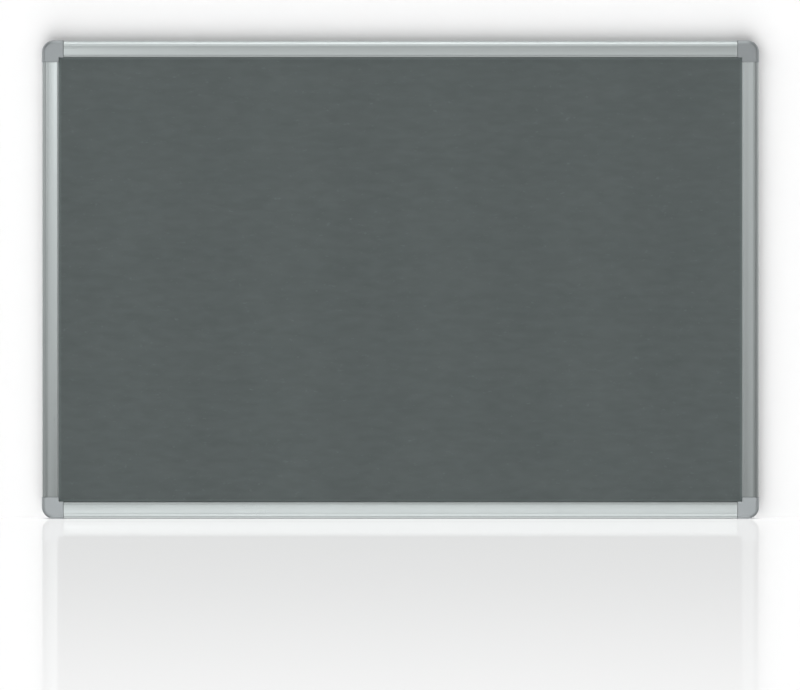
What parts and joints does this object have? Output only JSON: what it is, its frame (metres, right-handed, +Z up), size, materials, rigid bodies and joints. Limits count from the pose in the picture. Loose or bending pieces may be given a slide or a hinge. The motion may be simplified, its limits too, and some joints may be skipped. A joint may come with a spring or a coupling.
{
  "type": "felt notice board",
  "caption": "Flat felt-covered pin-up board in a slim hollow aluminium frame; moulded corner caps pull off to reach the wall screws behind them.",
  "frame": {"origin": "centre of the board's outline, on the wall plane", "axes": "+X to the right along the long side, +Z up, +Y into the wall, so the felt faces -Y"},
  "size_m": [0.9008, 0.0213, 0.6008],
  "materials": {
    "felt": "matte",
    "softboard": "matte",
    "liner_board": "matte",
    "anodised_aluminium": "satin",
    "cap_plastic": "satin",
    "bracket_plastic": "matte",
    "zinc_plated_steel": "satin"
  },
  "bodies": {
    "board": {"backing_sheet": "liner_board", "softboard_core": "softboard", "felt_face": "felt", "frame_top": "anodised_aluminium", "frame_bottom": "anodised_aluminium", "frame_left": "anodised_aluminium", "frame_right": "anodised_aluminium", "corner_bracket_bottom_left": "bracket_plastic", "corner_screw_bottom_left_1": "zinc_plated_steel", "corner_screw_bottom_left_2": "zinc_plated_steel", "corner_bracket_bottom_right": "bracket_plastic", "corner_screw_bottom_right_1": "zinc_plated_steel", "corner_screw_bottom_right_2": "zinc_plated_steel", "corner_bracket_top_left": "bracket_plastic", "corner_screw_top_left_1": "zinc_plated_steel", "corner_screw_top_left_2": "zinc_plated_steel", "corner_bracket_top_right": "bracket_plastic", "corner_screw_top_right_1": "zinc_plated_steel", "corner_screw_top_right_2": "zinc_plated_steel"},
    "cap_bottom_left": {"corner_cap_bottom_left": "cap_plastic"},
    "cap_bottom_right": {"corner_cap_bottom_right": "cap_plastic"},
    "cap_top_left": {"corner_cap_top_left": "cap_plastic"},
    "cap_top_right": {"corner_cap_top_right": "cap_plastic"}
  },
  "joints": [
    {"name": "cap_bottom_left_pull", "type": "slide", "parent": "board", "child": "cap_bottom_left", "axis": [0, -1, 0], "range_m": [0, 0.018]},
    {"name": "cap_bottom_right_pull", "type": "slide", "parent": "board", "child": "cap_bottom_right", "axis": [0, -1, 0], "range_m": [0, 0.018]},
    {"name": "cap_top_left_pull", "type": "slide", "parent": "board", "child": "cap_top_left", "axis": [0, -1, 0], "range_m": [0, 0.018]},
    {"name": "cap_top_right_pull", "type": "slide", "parent": "board", "child": "cap_top_right", "axis": [0, -1, 0], "range_m": [0, 0.018]}
  ]
}
